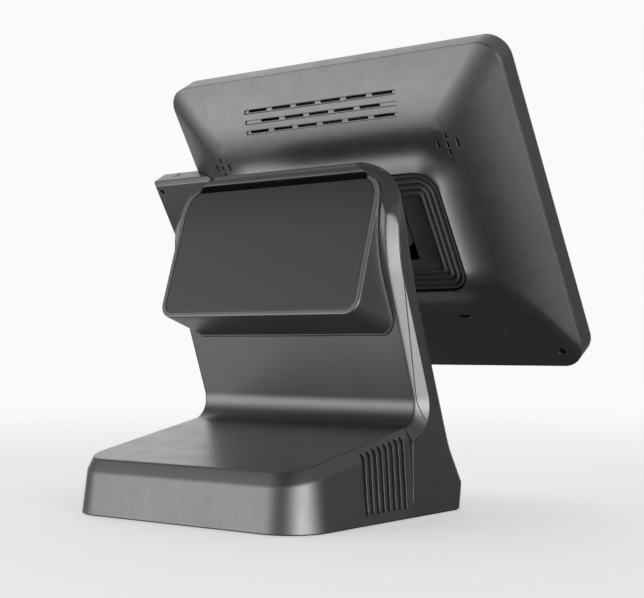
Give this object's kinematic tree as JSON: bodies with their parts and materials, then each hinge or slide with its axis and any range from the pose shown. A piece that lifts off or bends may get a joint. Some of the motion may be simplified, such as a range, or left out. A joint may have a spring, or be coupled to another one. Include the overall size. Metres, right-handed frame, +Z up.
{
  "type": "pos touchscreen terminal",
  "caption": "Countertop sales terminal: wedge base and curved column, tilting touchscreen with side card reader, and a smaller customer display.",
  "frame": {"origin": "on the counter, middle of the base's width, 107.6 mm in from the customer edge, at the middle foot's underside", "axes": "+Z up from the counter; +X to the operator's right, the side of the card reader; the customer is on +Y and the operator on -Y"},
  "size_m": [0.4095, 0.3541, 0.3908],
  "materials": {
    "base_cover": "fine moulded texture, satin",
    "column_customer_cover": "fine moulded texture, satin",
    "column_operator_cover": "fine moulded texture, satin",
    "neck_cover": "fine moulded texture, satin",
    "customer_housing": "fine moulded texture, satin",
    "back_cover": "fine moulded texture, satin",
    "io_door": "fine moulded texture, satin",
    "front_bezel": "fine moulded texture, satin",
    "card_reader_housing": "fine moulded texture, satin",
    "power_button": "satin",
    "speaker_left": "matt",
    "speaker_right": "matt",
    "lcd_panel": "matt",
    "customer_lcd": "matt",
    "mainboard": "solder mask, satin",
    "io_board": "solder mask, satin",
    "customer_driver_board": "solder mask, satin",
    "card_reader_board": "solder mask, satin",
    "hinge_boot": "matt",
    "foot_operator_left": "matt",
    "foot_operator_right": "matt",
    "foot_customer_left": "matt",
    "foot_customer_right": "matt",
    "foot_middle": "matt",
    "touch_glass": "polished, dark behind",
    "customer_glass": "anti-glare, dark behind",
    "base_plate": "zinc-plated sheet steel",
    "power_supply": "folded case, satin",
    "column_spine": "folded sheet, satin",
    "hinge_arm": "satin",
    "hinge_bracket": "satin",
    "hinge_shaft": "ground",
    "hinge_washer_left": "satin",
    "hinge_washer_right": "satin",
    "hinge_nut_left": "zinc plated",
    "hinge_nut_right": "zinc plated",
    "display_chassis": "folded sheet, satin",
    "heatsink": "extruded, satin",
    "solid_state_drive": "satin",
    "magnetic_head": "polished",
    "card_reader_screw": "black zinc",
    "cover_screw_left": "black zinc",
    "cover_screw_right": "black zinc"
  },
  "bodies": {
    "stand": {"base_cover": "base_cover", "column_customer_cover": "column_customer_cover", "column_operator_cover": "column_operator_cover", "neck_cover": "neck_cover", "customer_housing": "customer_housing", "customer_lcd": "customer_lcd", "customer_driver_board": "customer_driver_board", "foot_operator_left": "foot_operator_left", "foot_operator_right": "foot_operator_right", "foot_customer_left": "foot_customer_left", "foot_customer_right": "foot_customer_right", "foot_middle": "foot_middle", "customer_glass": "customer_glass", "base_plate": "base_plate", "power_supply": "power_supply", "column_spine": "column_spine", "hinge_arm": "hinge_arm"},
    "display": {"back_cover": "back_cover", "cover_screw_left": "cover_screw_left", "cover_screw_right": "cover_screw_right", "hinge_boot": "hinge_boot", "front_bezel": "front_bezel", "touch_glass": "touch_glass", "lcd_panel": "lcd_panel", "display_chassis": "display_chassis", "hinge_bracket": "hinge_bracket", "hinge_shaft": "hinge_shaft", "hinge_washer_left": "hinge_washer_left", "hinge_washer_right": "hinge_washer_right", "hinge_nut_left": "hinge_nut_left", "hinge_nut_right": "hinge_nut_right", "mainboard": "mainboard", "heatsink": "heatsink", "solid_state_drive": "solid_state_drive", "io_board": "io_board", "speaker_left": "speaker_left", "speaker_right": "speaker_right", "card_reader_housing": "card_reader_housing", "magnetic_head": "magnetic_head", "card_reader_board": "card_reader_board", "card_reader_screw": "card_reader_screw"},
    "io_door": {"io_door": "io_door"},
    "power_button": {"power_button": "power_button"}
  },
  "joints": [
    {"name": "display_tilt", "type": "hinge", "parent": "stand", "child": "display", "pos_m": [0, -0.13629, 0.24435], "axis": [-1, 0, 0], "range_deg": [-21, 29]},
    {"name": "io_door_hinge", "type": "hinge", "parent": "display", "child": "io_door", "pos_m": [0, -0.22373, 0.12406], "axis": [-1, 0, 0], "range_deg": [0, 75]},
    {"name": "power_button_travel", "type": "slide", "parent": "display", "child": "power_button", "axis": [0, 0.5185, 0.8551], "range_m": [0, 0.0008], "stiffness_N_per_m": 800}
  ]
}
